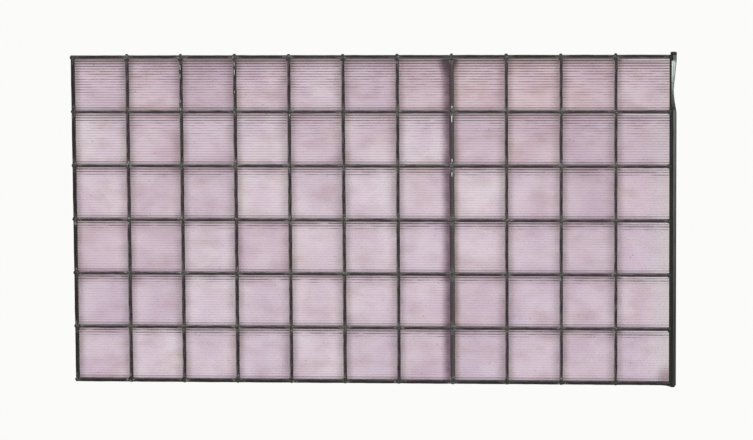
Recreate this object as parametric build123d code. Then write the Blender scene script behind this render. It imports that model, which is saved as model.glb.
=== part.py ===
from build123d import *
import os

# Prism glass transom panel: pressed glass tiles, ribbed on the back, held in zinc cames
# whose crossings are soldered. Millimetres, +X right, +Z up, and the smooth face looks to -Y.
# The origin is on the underside of the bottom border came, in the middle of the tiles' width.

# The pressed tiles: four inches square, flat in front and ribbed behind
tile_side = 101.6
tile_columns = 11
tile_rows = 6
glass_body = 5.2
rib_depth = 2.6
rib_pitch = 5.0
rib_ledge = 1.3
least_land = 3.0

# The rolled zinc cames and how the glass sits in them
heart_thickness = 1.6
edge_gap = 0.4
bed_gap = 0.2
flange_thickness = 1.2
flange_lap = 2.0
flange_edge_radius = 0.6
butt_gap = 0.1

# The broader upright that carries the stiffening bar
barred_upright_number = 7
barred_lap = 3.2
bar_thickness = 3.2
bar_width = 12.7
bar_end_inset = 2.0

# The border cames, which have a hollow outer edge
border_outer_reach = 4.0
border_wall = 1.2
right_outer_reach = 11.0
right_groove_place = 3.8
right_groove_width = 0.8
right_groove_depth = 0.6
right_crown = 0.7
right_corner_radius = 0.9

# The damage at the top of the right border came
tear_top_drop = 9.0
tear_inner_top_drop = 92.0
tear_inner_foot_drop = 100.0
tear_foot_drop = 110.0
tear_inner_place = 1.8
dent_drops = (24.0, 46.0, 67.0, 88.0)
dent_depths = (1.4, 3.4, 5.6, 3.6)

# The solder
joint_radius = 4.3
joint_height = 1.1
corner_joint_radius = 3.3
barred_joint_radius = 6.0
barred_joint_height = 2.4
joint_bar_gap = 0.1
dome_sides = 12
dome_waist_share = 0.75
dome_top_share = 0.35
nub_radius = 3.9
nub_bite = 0.1
top_nub_height = 3.6
left_nub_height = 3.0
bottom_nub_height = 1.8
corner_lump_inset = 0.5
corner_lump_left = -1.0
top_cap_height = 6.0
top_cap_overhang = 0.6
top_cap_radius = 1.6
bottom_lump_height = 4.6
bottom_lump_drawback = 1.0
bottom_lump_radius = 3.8

# Places and sizes that follow from the values above
grid_pitch = tile_side + heart_thickness + 2 * edge_gap
glass_depth = glass_body + rib_depth
bed_half = glass_depth / 2 + bed_gap
face_half = bed_half + flange_thickness
tile_edge_place = heart_thickness / 2 + edge_gap
flange_reach = tile_edge_place + flange_lap
barred_reach = tile_edge_place + barred_lap
panel_height = tile_rows * grid_pitch + 2 * border_outer_reach


def column_line(number):
    """X of the upright line with this number, 0 at the left border."""
    return (number - tile_columns / 2) * grid_pitch


def row_line(number):
    """Z of the level line with this number, 0 at the bottom border."""
    return border_outer_reach + number * grid_pitch


def save(node, pieces):
    """Write the solids of one node to its own STEP file."""
    solids = [solid for piece in pieces for solid in piece.solids()]
    export_step(Compound(solids), "parts/" + node + ".step")


def prism_tile():
    """One tile, its outline in the YZ plane carried along X, with X and Z measured from its middle."""
    front = -glass_depth / 2
    back = glass_depth / 2
    rib_count = int((tile_side - 2 * least_land) / rib_pitch)
    first_rib = -rib_count * rib_pitch / 2
    outline = [(front, -tile_side / 2), (back, -tile_side / 2), (back, first_rib)]
    for rib in range(rib_count):
        foot = first_rib + rib * rib_pitch
        outline.append((back - rib_depth, foot))
        outline.append((back, foot + rib_pitch - rib_ledge))
    outline.append((back - rib_depth, first_rib + rib_count * rib_pitch))
    outline.append((back, first_rib + rib_count * rib_pitch))
    outline.append((back, tile_side / 2))
    outline.append((front, tile_side / 2))
    section = Plane.YZ * make_face(Polyline(*outline, close=True))
    return extrude(section, amount=tile_side / 2, both=True)


def tile_column(number):
    """The tiles of one column, from the bottom row to the top row."""
    middle = (column_line(number) + column_line(number + 1)) / 2
    tile = prism_tile()
    tiles = []
    for row in range(tile_rows):
        height = (row_line(row) + row_line(row + 1)) / 2
        tiles.append(Pos(middle, 0, height) * tile)
    return tiles


def came_section(reach):
    """The H of an inner came: a heart between two flanges with eased outer edges."""
    heart = Rectangle(heart_thickness, 2 * bed_half)
    flange_middle = bed_half + flange_thickness / 2
    section = heart
    for side in (-1, 1):
        flange = Pos(0, side * flange_middle) * Rectangle(2 * reach, flange_thickness)
        outer_corners = flange.vertices().sort_by(lambda corner: -side * corner.Y)[:2]
        section += fillet(outer_corners, flange_edge_radius)
    return section


def upright_came(number):
    """One inner upright, from the bottom border's flanges to the top border's."""
    reach = barred_reach if number == barred_upright_number else flange_reach
    foot = row_line(0) + flange_reach + butt_gap
    length = tile_rows * grid_pitch - 2 * (flange_reach + butt_gap)
    upright = extrude(came_section(reach), amount=length)
    return Pos(column_line(number), 0, foot) * upright


def cross_came(row):
    """The short level cames of one line, cut to fit between the uprights."""
    pieces = []
    for column in range(tile_columns):
        left_reach = barred_reach if column == barred_upright_number else flange_reach
        right_reach = barred_reach if column + 1 == barred_upright_number else flange_reach
        left = column_line(column) + left_reach + butt_gap
        right = column_line(column + 1) - right_reach - butt_gap
        piece = extrude(Plane.YZ * (Rot(0, 0, 90) * came_section(flange_reach)), amount=right - left)
        pieces.append(Pos(left, 0, row_line(row)) * piece)
    return pieces


def border_section():
    """The border came: a glazing channel on +X, and a hollow edge closed by a flat wall on -X."""
    width = border_outer_reach + flange_reach
    middle = (flange_reach - border_outer_reach) / 2
    outside = Pos(middle, 0) * Rectangle(width, 2 * face_half)
    outside = fillet(outside.vertices(), flange_edge_radius)
    channel_width = flange_reach - heart_thickness / 2
    channel = Pos(heart_thickness / 2 + channel_width / 2, 0) * Rectangle(channel_width, 2 * bed_half)
    hollow_width = border_outer_reach - border_wall - heart_thickness / 2
    hollow_middle = -heart_thickness / 2 - hollow_width / 2
    hollow = Pos(hollow_middle, 0) * Rectangle(hollow_width, 2 * bed_half)
    return outside - channel - hollow


def left_border_came():
    """The left border, full height, with a shallow seat under each solder nub."""
    border = Pos(column_line(0), 0, 0) * extrude(border_section(), amount=panel_height)
    return border - [place * nub_seat() for place in left_nub_places()]


def level_border_came(at_top):
    """The top or the bottom border, cut to fit between the side borders, with its nubs' seats."""
    left = column_line(0) + flange_reach + butt_gap
    right = column_line(tile_columns) - flange_reach - butt_gap
    turn = -90 if at_top else 90
    row = tile_rows if at_top else 0
    border = extrude(Plane.YZ * (Rot(0, 0, turn) * border_section()), amount=right - left)
    places = top_nub_places() if at_top else bottom_nub_places()
    return Pos(left, 0, row_line(row)) * border - [place * nub_seat() for place in places]


def right_border_outline():
    """The outside of the broad right border: flat over the glass, a groove, then a crowned outer half."""
    inner = -flange_reach
    outer = right_outer_reach
    front = -face_half
    groove_left = right_groove_place - right_groove_width / 2
    groove_right = right_groove_place + right_groove_width / 2
    crown_end = outer - right_corner_radius
    crown_middle = (groove_right + crown_end) / 2
    edges = [
        Line((inner, face_half), (inner, front)),
        Line((inner, front), (groove_left, front)),
        Line((groove_left, front), (right_groove_place, front + right_groove_depth)),
        Line((right_groove_place, front + right_groove_depth), (groove_right, front)),
        ThreePointArc((groove_right, front), (crown_middle, front - right_crown), (crown_end, front)),
        Line((crown_end, front), (outer, front + right_corner_radius)),
        Line((outer, front + right_corner_radius), (outer, face_half)),
        Line((outer, face_half), (inner, face_half)),
    ]
    return make_face(edges)


def right_border_section():
    """The broad right border with its glazing channel on -X and its hollow outer half."""
    channel_width = flange_reach - heart_thickness / 2
    channel = Pos(-heart_thickness / 2 - channel_width / 2, 0) * Rectangle(channel_width, 2 * bed_half)
    hollow_width = right_outer_reach - border_wall - heart_thickness / 2
    hollow_middle = heart_thickness / 2 + hollow_width / 2
    hollow = Pos(hollow_middle, 0) * Rectangle(hollow_width, 2 * bed_half)
    return right_border_outline() - channel - hollow


def dented_edge(shift):
    """The line of the dented outer wall in the XZ plane, moved inwards by shift."""
    points = [(right_outer_reach - shift, panel_height - tear_top_drop)]
    for drop, depth in zip(dent_drops, dent_depths):
        points.append((right_outer_reach - depth - shift, panel_height - drop))
    points.append((right_outer_reach - shift, panel_height - tear_foot_drop))
    return points


def flat_plate(outline, near, far):
    """A plate whose outline lies in the XZ plane, from y = near to y = far."""
    face = Plane.XZ * make_face(Polyline(*outline, close=True))
    return Pos(0, near, 0) * extrude(face, amount=-(far - near))


def right_border_came():
    """The right border, its front wall torn off near the top and its outer wall dented inwards."""
    whole = extrude(right_border_section(), amount=panel_height)
    tear_top = panel_height - tear_top_drop
    tear_foot = panel_height - tear_foot_drop
    beyond = right_outer_reach + right_corner_radius
    in_front = -face_half - 2 * right_crown
    behind = face_half + right_crown
    inner_wall = heart_thickness / 2
    front_outline = [
        (tear_inner_place, tear_top),
        (beyond, tear_top),
        (beyond, tear_foot),
        (right_groove_place, panel_height - tear_inner_foot_drop),
        (tear_inner_place, panel_height - tear_inner_top_drop),
    ]
    front_cut = flat_plate(front_outline, in_front, -bed_half)
    side_outline = [(inner_wall, tear_top), (beyond, tear_top), (beyond, tear_foot), (inner_wall, tear_foot)]
    side_cut = flat_plate(side_outline, -bed_half, behind)
    outer_line = dented_edge(0)
    inner_line = dented_edge(border_wall)
    wall = flat_plate(outer_line + inner_line[::-1], -bed_half, face_half)
    back_outline = outer_line + [(inner_wall, tear_foot), (inner_wall, tear_top)]
    back = flat_plate(back_outline, bed_half, face_half)
    border = whole - front_cut - side_cut + wall + back
    return Pos(column_line(tile_columns), 0, 0) * border


def stiffening_bar():
    """The flat steel bar that stands on edge along the back of the broader upright."""
    length = panel_height - 2 * bar_end_inset
    bar = Box(bar_thickness, bar_width, length)
    return Pos(column_line(barred_upright_number), face_half + bar_width / 2, panel_height / 2) * bar


def solder_dome(radius, height):
    """A shallow faceted dome of solder, its flat foot in the XY plane and its top along +Z."""
    foot = RegularPolygon(radius, dome_sides)
    waist = Pos(0, 0, height / 2) * RegularPolygon(radius * dome_waist_share, dome_sides)
    top = Pos(0, 0, height) * RegularPolygon(radius * dome_top_share, dome_sides)
    return loft([foot, waist, top], ruled=True)


def joint_shift(number, last):
    """From a line to its joint: inwards to the butt at either border, and nothing between them."""
    return {0: flange_reach, last: -flange_reach}.get(number, 0)


def face_joints(side):
    """The solder over every crossing, on the front (-1) or the back (1)."""
    turn = Rot(-90 * side, 0, 0)
    plain = turn * solder_dome(joint_radius, joint_height)
    corner = turn * solder_dome(corner_joint_radius, joint_height)
    barred = turn * solder_dome(barred_joint_radius, barred_joint_height)
    bar_slot = Box(bar_thickness + 2 * joint_bar_gap, 4 * face_half, 4 * barred_joint_radius)
    bar_halves = barred - bar_slot
    border_middle = (border_outer_reach - flange_reach) / 2
    joints = []
    for column in range(tile_columns + 1):
        x = column_line(column) + joint_shift(column, tile_columns)
        for row in range(tile_rows + 1):
            z = row_line(row) + joint_shift(row, tile_rows)
            if column in (0, tile_columns) and row in (0, tile_rows):
                z = row_line(row) + (border_middle if row > 0 else -border_middle)
                joints.append(Pos(x, side * face_half, z) * corner)
            elif side > 0 and column == barred_upright_number:
                joints.append(Pos(x, side * face_half, z) * bar_halves)
            else:
                joints.append(Pos(x, side * face_half, z) * plain)
    return joints


def top_nub_places():
    """Where the nubs stand on the top border, their feet down."""
    return [Pos(column_line(column), 0, panel_height) for column in range(1, tile_columns)]


def bottom_nub_places():
    """Where the nubs hang under the bottom border."""
    return [Pos(column_line(column), 0, 0) * Rot(180, 0, 0) for column in range(1, tile_columns)]


def left_nub_places():
    """Where the nubs stand out of the left border."""
    edge = column_line(0) - border_outer_reach
    return [Pos(edge, 0, row_line(row)) * Rot(0, -90, 0) for row in range(tile_rows + 1)]


def nub_seat():
    """The shallow spot that the solder of a nub has bitten into the zinc, below the XY plane."""
    return extrude(RegularPolygon(nub_radius, dome_sides), amount=-nub_bite)


def edge_nubs():
    """The solder run round the outer edge, where each inner came ends at the border."""
    top = solder_dome(nub_radius, top_nub_height) + nub_seat()
    bottom = solder_dome(nub_radius, bottom_nub_height) + nub_seat()
    left = solder_dome(nub_radius, left_nub_height) + nub_seat()
    nubs = [place * top for place in top_nub_places()]
    nubs += [place * bottom for place in bottom_nub_places()]
    nubs += [place * left for place in left_nub_places()]
    return nubs


def corner_lump(right, height, radius):
    """A lump of solder over an end of the right border came, its far edges rounded, its foot at z = 0."""
    left = corner_lump_left
    depth = 2 * (face_half - corner_lump_inset)
    lump = Box(right - left, depth, height)
    far_edges = lump.faces().sort_by(Axis.Z)[-1].edges()
    lump = fillet(far_edges, radius)
    return Pos((left + right) / 2, 0, height / 2) * lump


def top_corner_solder():
    """The cap over the top end of the right border came."""
    lump = corner_lump(right_outer_reach + top_cap_overhang, top_cap_height, top_cap_radius)
    return Pos(column_line(tile_columns), 0, panel_height) * lump


def bottom_corner_solder():
    """The rounder lump under the bottom end of the right border came."""
    lump = corner_lump(right_outer_reach - bottom_lump_drawback, bottom_lump_height, bottom_lump_radius)
    return Pos(column_line(tile_columns), 0, 0) * mirror(lump, about=Plane.XY)


os.makedirs("parts", exist_ok=True)
for column in range(tile_columns):
    save(f"prism_tiles_column_{column + 1:02d}", tile_column(column))
for line in range(1, tile_columns):
    save(f"upright_came_{line:02d}", [upright_came(line)])
for line in range(1, tile_rows):
    save(f"cross_cames_line_{line}", cross_came(line))
save("left_border_came", [left_border_came()])
save("top_border_came", [level_border_came(True)])
save("bottom_border_came", [level_border_came(False)])
save("right_border_came", [right_border_came()])
save("stiffening_bar", [stiffening_bar()])
save("front_solder_joints", face_joints(-1))
save("back_solder_joints", face_joints(1))
save("edge_solder_nubs", edge_nubs())
save("top_corner_solder", [top_corner_solder()])
save("bottom_corner_solder", [bottom_corner_solder()])
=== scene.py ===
import math

import bpy
import numpy as np
from mathutils import Matrix, Vector


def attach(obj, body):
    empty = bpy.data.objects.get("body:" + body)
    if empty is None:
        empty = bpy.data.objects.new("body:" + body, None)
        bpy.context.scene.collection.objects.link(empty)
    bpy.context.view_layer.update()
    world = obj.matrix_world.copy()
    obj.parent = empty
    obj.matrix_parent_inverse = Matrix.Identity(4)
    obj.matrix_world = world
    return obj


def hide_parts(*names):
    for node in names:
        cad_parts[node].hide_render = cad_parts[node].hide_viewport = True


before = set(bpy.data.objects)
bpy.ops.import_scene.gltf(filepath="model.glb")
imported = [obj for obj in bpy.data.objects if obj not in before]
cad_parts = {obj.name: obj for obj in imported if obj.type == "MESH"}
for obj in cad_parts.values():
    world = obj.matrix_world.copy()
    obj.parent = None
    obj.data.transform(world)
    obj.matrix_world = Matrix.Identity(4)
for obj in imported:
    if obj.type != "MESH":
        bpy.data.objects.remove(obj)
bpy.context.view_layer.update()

# Prism tiles: soda-lime glass pressed in an iron mould, four inches square, smooth in front and
# ribbed behind. The manganese in the batch has turned lilac in the sun, each tile by its own amount.
# They sit loose between the flanges of the cames.
tile_columns = 11
tile_rows = 6
tile_side = 101.6
grid_pitch = 104.0
bottom_line = 4.0
tile_front = -3.9
tile_back = 3.9
rib_depth = 2.6
rib_pitch = 5.0
rib_ledge = 1.3
rib_land = 3.3
rib_count = 19
rib_drop = 1.3
rng = np.random.default_rng(1911)


def column_line(number):
    """X in millimetres of upright line 0 to 11, counted from the left."""
    return (number - tile_columns / 2) * grid_pitch


def row_line(number):
    """Z in millimetres of level line 0 to 6, counted from the bottom."""
    return bottom_line + number * grid_pitch


def rib_profile(z):
    """Depth of the ribbed face at height z in a tile: a straight ramp out over 3.7 mm and a ledge
    back over 1.3 mm, repeated, and averaged over half a millimetre because pressed edges are soft."""
    def sharp(height):
        place = (height - rib_land + rib_drop) / rib_pitch
        share = (place - np.floor(place)) * rib_pitch
        ramp = share / (rib_pitch - rib_ledge)
        ledge = (rib_pitch - share) / rib_ledge
        ribbed = tile_back - rib_depth * (1 - np.minimum(ramp, ledge))
        return np.where((place < 0) | (place > rib_count), tile_back, ribbed)
    return np.mean([sharp(z + shift) for shift in np.linspace(-0.24, 0.24, 5)], axis=0)


def add_piece(name, loops, node, material, tags=None, smooth_below=40):
    """Skins closed loops of points: each entry of loops is an array (stations, points, 3) in
    millimetres whose neighbouring loops are joined by quads, and each end is closed by strips
    between point k and point -1-k. A skin whose signed volume is negative is turned round."""
    corners, faces, start = [], [], 0
    for loop in loops:
        stations, points = loop.shape[:2]
        index = np.arange(stations * points).reshape(stations, points)
        ahead = np.roll(index, -1, axis=1)
        sides = np.stack([index[:-1], ahead[:-1], ahead[1:], index[1:]], axis=-1).reshape(-1, 4)
        k = np.arange(points // 2 - 1)
        strip = np.stack([k + 1, k, points - 1 - k, points - 2 - k], axis=-1)
        quads = np.concatenate([sides, strip, strip[:, ::-1] + (stations - 1) * points])
        flat = loop.reshape(-1, 3)
        a, b, c, d = (flat[quads[:, i]] for i in range(4))
        volume = np.einsum("ij,ij->i", a, np.cross(b, c) + np.cross(c, d)).sum()
        faces.append((quads[:, ::-1] if volume < 0 else quads) + start)
        corners.append(flat)
        start += len(flat)
    return skin_object(name, np.concatenate(corners), np.concatenate(faces).tolist(),
                       node, material, tags, smooth_below)


def skin_object(name, corners, faces, node, material, tags, smooth_below):
    """One object from corners in millimetres and faces, with its frame calls."""
    mesh = bpy.data.meshes.new(name)
    mesh.from_pydata(corners * 0.001, [], faces)
    mesh.update()
    mesh.shade_smooth()
    mesh.set_sharp_from_angle(angle=math.radians(smooth_below))
    for tag, values in (tags or {}).items():
        mesh.attributes.new(tag, "FLOAT", "POINT").data.foreach_set("value", values)
    mesh.materials.append(material)
    piece = bpy.data.objects.new(name, mesh)
    bpy.context.collection.objects.link(piece)
    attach(piece, "root")
    if node:
        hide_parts(node)
    return piece


def colour(code):
    """An sRGB hex colour as linear values."""
    parts = [int(code[i:i + 2], 16) / 255 for i in (1, 3, 5)]
    return tuple(c / 12.92 if c <= 0.04045 else ((c + 0.055) / 1.055) ** 2.4 for c in parts) + (1.0,)


def add(owner, kind, settings=None, links=None):
    """Adds one node, sets its properties and input values, and links inputs to nodes or outputs."""
    made = owner.node_tree.nodes.new("ShaderNode" + kind)
    for key, value in (settings or {}).items():
        if isinstance(key, int) or key in made.inputs.keys():
            made.inputs[key].default_value = value
        else:
            setattr(made, key, value)
    wire(owner, made, links or {})
    return made


def wire(owner, node, links):
    """Links a node's inputs to outputs, or to nodes: a Mix node then gives its colour, and any other
    its first output."""
    for key, source in links.items():
        if hasattr(source, "outputs"):
            source = source.outputs[2 if source.bl_idname == "ShaderNodeMix" else 0]
        owner.node_tree.links.new(source, node.inputs[key])


def finish(name, constants):
    """A new material and its shader, with the constants on the shader's own sockets."""
    material = bpy.data.materials.new(name)
    material.use_nodes = True
    shader = material.node_tree.nodes["Principled BSDF"]
    for socket, value in constants.items():
        shader.inputs[socket].default_value = value
    return material, shader


# Pressed soda-lime glass, sun-turned lilac: clear, tinted transmission under a wet-looking skin.
# The depth of the tint differs from tile to tile and drifts within one. Soot lies along the tips of
# the ribs, and painted shade deepens those lines high up and borders the flanges as the cames' soft shadows.
glass, glass_shader = finish("pressed_lilac_glass", {"Roughness": 0.03, "IOR": 1.52,
                                                     "Transmission Weight": 1.0})

# Settings that many nodes share: blend lays one colour over another, multiplying darkens what lies under it.
to_millimetres = {"operation": "SCALE", "Scale": 1000.0}
blend = {"data_type": "RGBA"}
multiply_blend = {"data_type": "RGBA", "blend_type": "MULTIPLY"}
eased = {"interpolation_type": "SMOOTHSTEP"}
times = {"operation": "MULTIPLY"}
capped_times = {"operation": "MULTIPLY", "use_clamp": True}

place = add(glass, "TexCoord")
millimetres = add(glass, "VectorMath", to_millimetres, {0: place.outputs["Object"]})
axes = add(glass, "SeparateXYZ", None, {0: millimetres})
column_place = add(glass, "Math", {"operation": "MULTIPLY_ADD", 1: 1 / grid_pitch, 2: tile_columns / 2},
                   {0: axes.outputs["X"]})
row_place = add(glass, "Math", {"operation": "MULTIPLY_ADD", 1: 1 / grid_pitch, 2: -bottom_line / grid_pitch},
                {0: axes.outputs["Z"]})
across_share = add(glass, "Math", {"operation": "FRACT"}, {0: column_place})
up_share = add(glass, "Math", {"operation": "FRACT"}, {0: row_place})

# Which batch a tile came from: its own mesh attributes, from -1 for deep to 1 for nearly clear, and
# from 0 for violet to 1 for pink.
depth_tag = add(glass, "Attribute", {"attribute_name": "batch_depth"})
hue_tag = add(glass, "Attribute", {"attribute_name": "batch_hue"})
tint = add(glass, "Mix", {**blend, 6: colour("#D8C7D6"), 7: colour("#DDC7CF")}, {0: hue_tag.outputs["Fac"]})
clear_share = add(glass, "MapRange", None, {"Value": depth_tag.outputs["Fac"]})
tint = add(glass, "Mix", {**blend, 7: colour("#E6DAE2")}, {0: clear_share, 6: tint})
deep_share = add(glass, "MapRange", {"From Min": 0.0, "From Max": -1.0}, {"Value": depth_tag.outputs["Fac"]})
tint = add(glass, "Mix", {**blend, 7: colour("#C8B2C1")}, {0: deep_share, 6: tint})

# Cords of stronger violet, and patches of thin brown dust, both some 60 mm across.
cord_width = 58.0
dust_width = 60.0
cords = add(glass, "TexNoise", {"Scale": 1 / cord_width, "Detail": 1.0, "Roughness": 0.5},
            {"Vector": millimetres})
cord_share = add(glass, "MapRange", {"From Min": 0.38, "From Max": 0.64}, {"Value": cords})
dust_place = add(glass, "Mapping", {"Location": (170.0, 0.0, 90.0), "Scale": (1.0, 1.0, 1.8)},
                 {"Vector": millimetres})
dust = add(glass, "TexNoise", {"Scale": 1 / dust_width, "Detail": 2.0, "Roughness": 0.5},
           {"Vector": dust_place})
dust_share = add(glass, "MapRange", {"From Min": 0.46, "From Max": 0.74}, {"Value": dust})

# Painted shade, the cames' soft shadows, in millimetres from the lines between the tiles: a band up
# each side, a dark strip and a paler one under each level line, and hardly any above one. It is
# deepest in the top row, and it comes and goes in patches 30 mm across.
patch_size = 30.0
right_line = column_line(tile_columns)
top_line = row_line(tile_rows)
from_left = add(glass, "Math", {**times, 1: grid_pitch}, {0: across_share})
from_right = add(glass, "Math", {"operation": "SUBTRACT", 0: grid_pitch}, {1: from_left})
below_line = add(glass, "Math", {"operation": "MULTIPLY_ADD", 1: -grid_pitch, 2: grid_pitch}, {0: up_share})
patches = add(glass, "TexNoise", {"Scale": 1 / patch_size, "Detail": 3.0}, {"Vector": millimetres})
patch_weight = add(glass, "MapRange", {"From Min": 0.3, "From Max": 0.7, "To Min": 0.7, "To Max": 1.25,
                                      "clamp": False}, {"Value": patches})
softened = {"interpolation_type": "SMOOTHERSTEP"}
left_shade = add(glass, "MapRange", {**softened, "From Min": 21.0, "From Max": 1.0}, {"Value": from_left})
right_shade = add(glass, "MapRange", {**softened, "From Min": 27.0, "From Max": -4.0}, {"Value": from_right})
last_side = add(glass, "MapRange", {"From Min": right_line - 37.0, "From Max": right_line - 17.0,
                                    "To Min": 1.0, "To Max": 0.3}, {"Value": axes.outputs["X"]})
right_shade = add(glass, "Math", times, {0: right_shade, 1: last_side})
side_shade = add(glass, "Math", {"operation": "ADD"}, {0: left_shade, 1: right_shade})
side_shade = add(glass, "Math", capped_times, {0: side_shade, 1: patch_weight})
# Painted shade: the dark strip right under each level line.
strip = add(glass, "MapRange", {**eased, "From Min": 8.0, "From Max": 7.2}, {"Value": below_line})
under = add(glass, "MapRange", {**eased, "From Min": 13.0, "From Max": 12.0, "To Max": 0.3},
            {"Value": below_line})
wide_under = add(glass, "MapRange", {**eased, "From Min": 27.0, "From Max": 2.0, "To Max": 0.22},
                 {"Value": below_line})
under = add(glass, "Math", {"operation": "ADD"}, {0: under, 1: wide_under})
under = add(glass, "Math", capped_times, {0: under, 1: patch_weight})
over = add(glass, "MapRange", {**eased, "From Min": 92.0, "From Max": 101.0}, {"Value": below_line})
top_shade = add(glass, "MapRange", {**eased, "From Min": top_line - 26.0, "From Max": top_line},
               {"Value": axes.outputs["Z"]})

# Painted shade beside the seventh upright, which carries the stiffening bar: the bar's soft shadow,
# purple brown on its left, grey brown on its right.
barred_upright = 7
barred_line = column_line(barred_upright)
from_bar = add(glass, "Math", {"operation": "SUBTRACT", 1: barred_line}, {0: axes.outputs["X"]})
bar_left = add(glass, "MapRange", {**eased, "From Min": -25.0, "From Max": -6.0}, {"Value": from_bar})
bar_left = add(glass, "Math", times, {0: bar_left, 1: patch_weight})
left_of_bar = add(glass, "Math", {"operation": "LESS_THAN", 1: 0.0}, {0: from_bar})
bar_left = add(glass, "Math", capped_times, {0: bar_left, 1: left_of_bar})
bar_right = add(glass, "MapRange", {**eased, "From Min": 16.0, "From Max": 6.0, "To Max": 0.8},
                {"Value": from_bar})
right_of_bar = add(glass, "Math", {"operation": "GREATER_THAN", 1: 0.0}, {0: from_bar})
bar_right = add(glass, "Math", capped_times, {0: bar_right, 1: right_of_bar})
# Cords and dust, then the painted shade by the cames and the bar, each multiplied into the tint.
tint_and_shade_layers = [(cord_share, "#F5F0F6"), (dust_share, "#EEE8E3"), (side_shade, "#CBCAC5"), (strip, "#E9E7E4"),
         (under, "#D3D0CD"), (over, "#D8D6D6"), (top_shade, "#E0DBDB"), (bar_left, "#A28D9D"),
         (bar_right, "#DCD9CE")]
for share, shade in tint_and_shade_layers:
    tint = add(glass, "Mix", {**multiply_blend, 7: colour(shade)}, {0: share, 6: tint})

# The last column is greyed towards the broad border, most of all in its lower half.
greyed = add(glass, "MapRange", {**eased, "From Min": right_line - 52.0, "From Max": right_line - 10.0,
                                 "To Max": 0.5}, {"Value": axes.outputs["X"]})
greyed_low = add(glass, "MapRange", {"From Min": 520.0, "From Max": 300.0, "To Min": 0.6, "To Max": 1.5},
                 {"Value": axes.outputs["Z"]})
greyed = add(glass, "Math", capped_times, {0: greyed, 1: greyed_low})
tint = add(glass, "Mix", {**blend, 7: colour("#D2C9CC")}, {0: greyed, 6: tint})

# Painted shade left and right of the seventh upright's top, by the bar, and a brownish darkening in the
# last tile's corner. Each is (across, up, outer radius, inner radius, colour), a little narrower than it is
# high.
bar_shade_and_corner_marks = [(barred_line - 8.0, top_line - 13.0, 30.0, 4.0, "#9A8695"),
          (barred_line + 4.0, top_line - 10.0, 18.0, 2.0, "#AFA2A3"),
          (right_line - 4.0, bottom_line + 4.0, 42.0, 4.0, "#C9B9BE")]
for x, z, outer, inner, shade in bar_shade_and_corner_marks:
    off = add(glass, "VectorMath", {"operation": "SUBTRACT", 1: (x, 0.0, z)}, {0: millimetres})
    off = add(glass, "VectorMath", {"operation": "MULTIPLY", 1: (1.3, 0.0, 1.0)}, {0: off})
    off = add(glass, "VectorMath", {"operation": "LENGTH"}, {0: off})
    darkened_share = add(glass, "MapRange", {**eased, "From Min": outer, "From Max": inner},
                  {"Value": off.outputs["Value"]})
    darkened_share = add(glass, "Math", capped_times, {0: darkened_share, 1: patch_weight})
    tint = add(glass, "Mix", {**multiply_blend, 7: colour(shade)}, {0: darkened_share, 6: tint})

# The rib lines: soot along each rib on the ribbed side, broken along its length, and painted shade,
# stronger in the upper rows and near each tile's ends, and almost black on the first ribs under a came.
rib_line_phase = 0.7
tile_gap = (grid_pitch - tile_side) / 2
first_rib = (tile_gap + rib_land - rib_drop) / rib_pitch
rib_place = add(glass, "Math", {"operation": "MULTIPLY_ADD", 1: grid_pitch / rib_pitch,
                                2: 0.5 - rib_line_phase - first_rib}, {0: up_share})
rib_share = add(glass, "Math", {"operation": "FRACT"}, {0: rib_place})
rib_off = add(glass, "Math", {"operation": "SUBTRACT", 1: 0.5}, {0: rib_share})
rib_off = add(glass, "Math", {"operation": "ABSOLUTE"}, {0: rib_off})
rib_line_mask = add(glass, "MapRange", {**eased, "From Min": 0.24, "From Max": 0.05}, {"Value": rib_off})
behind = add(glass, "Math", {"operation": "GREATER_THAN", 1: 0.0}, {0: axes.outputs["Y"]})
rib_line_mask = add(glass, "Math", times, {0: rib_line_mask, 1: behind})
# Painted shade: stronger rib lines in the upper rows, near each tile's top and ends, and on its first ribs.
height_share = add(glass, "MapRange", {**eased, "From Min": 330.0, "From Max": 640.0, "To Min": 0.03,
                                       "To Max": 0.93}, {"Value": axes.outputs["Z"]})
up_centre = add(glass, "Math", {"operation": "SUBTRACT", 1: 0.5}, {0: up_share})
up_far = add(glass, "Math", {"operation": "ABSOLUTE"}, {0: up_centre})
end_share = add(glass, "MapRange", {**eased, "From Min": 0.2, "From Max": 0.47, "To Max": 0.22},
                {"Value": up_far})
streak_place = add(glass, "Mapping", {"Scale": (0.028, 0.0, 0.25)}, {"Vector": millimetres})
streak = add(glass, "TexNoise", {"Scale": 1.0, "Detail": 3.0}, {"Vector": streak_place})
streak_share = add(glass, "MapRange", {"From Min": 0.3, "From Max": 0.7, "To Min": 0.35, "To Max": 1.65},
                   {"Value": streak})
first_ribs = add(glass, "MapRange", {**eased, "From Min": 26.0, "From Max": 9.0}, {"Value": below_line})
upper_share = add(glass, "MapRange", {"From Min": 90.0, "From Max": 10.0, "To Min": 0.5, "To Max": 1.55},
                  {"Value": below_line})
strength = add(glass, "Math", times, {0: height_share, 1: upper_share})
for added in (end_share, first_ribs):
    strength = add(glass, "Math", {"operation": "ADD"}, {0: strength, 1: added})
for weight in (streak_share, patch_weight):
    strength = add(glass, "Math", times, {0: strength, 1: weight})
rib_soot_and_shade = add(glass, "Math", capped_times, {0: rib_line_mask, 1: strength})
# Painted shade: the first ribs under a came turn almost black.
shaded_rib_share = add(glass, "MapRange", {**eased, "From Min": 60.0, "From Max": 8.0}, {"Value": below_line})
rib_line_tone = add(glass, "Mix", {**blend, 6: colour("#7C6676"), 7: colour("#35252B")}, {0: shaded_rib_share})
tint = add(glass, "Mix", multiply_blend, {0: rib_soot_and_shade, 6: tint, 7: rib_line_tone})

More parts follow.
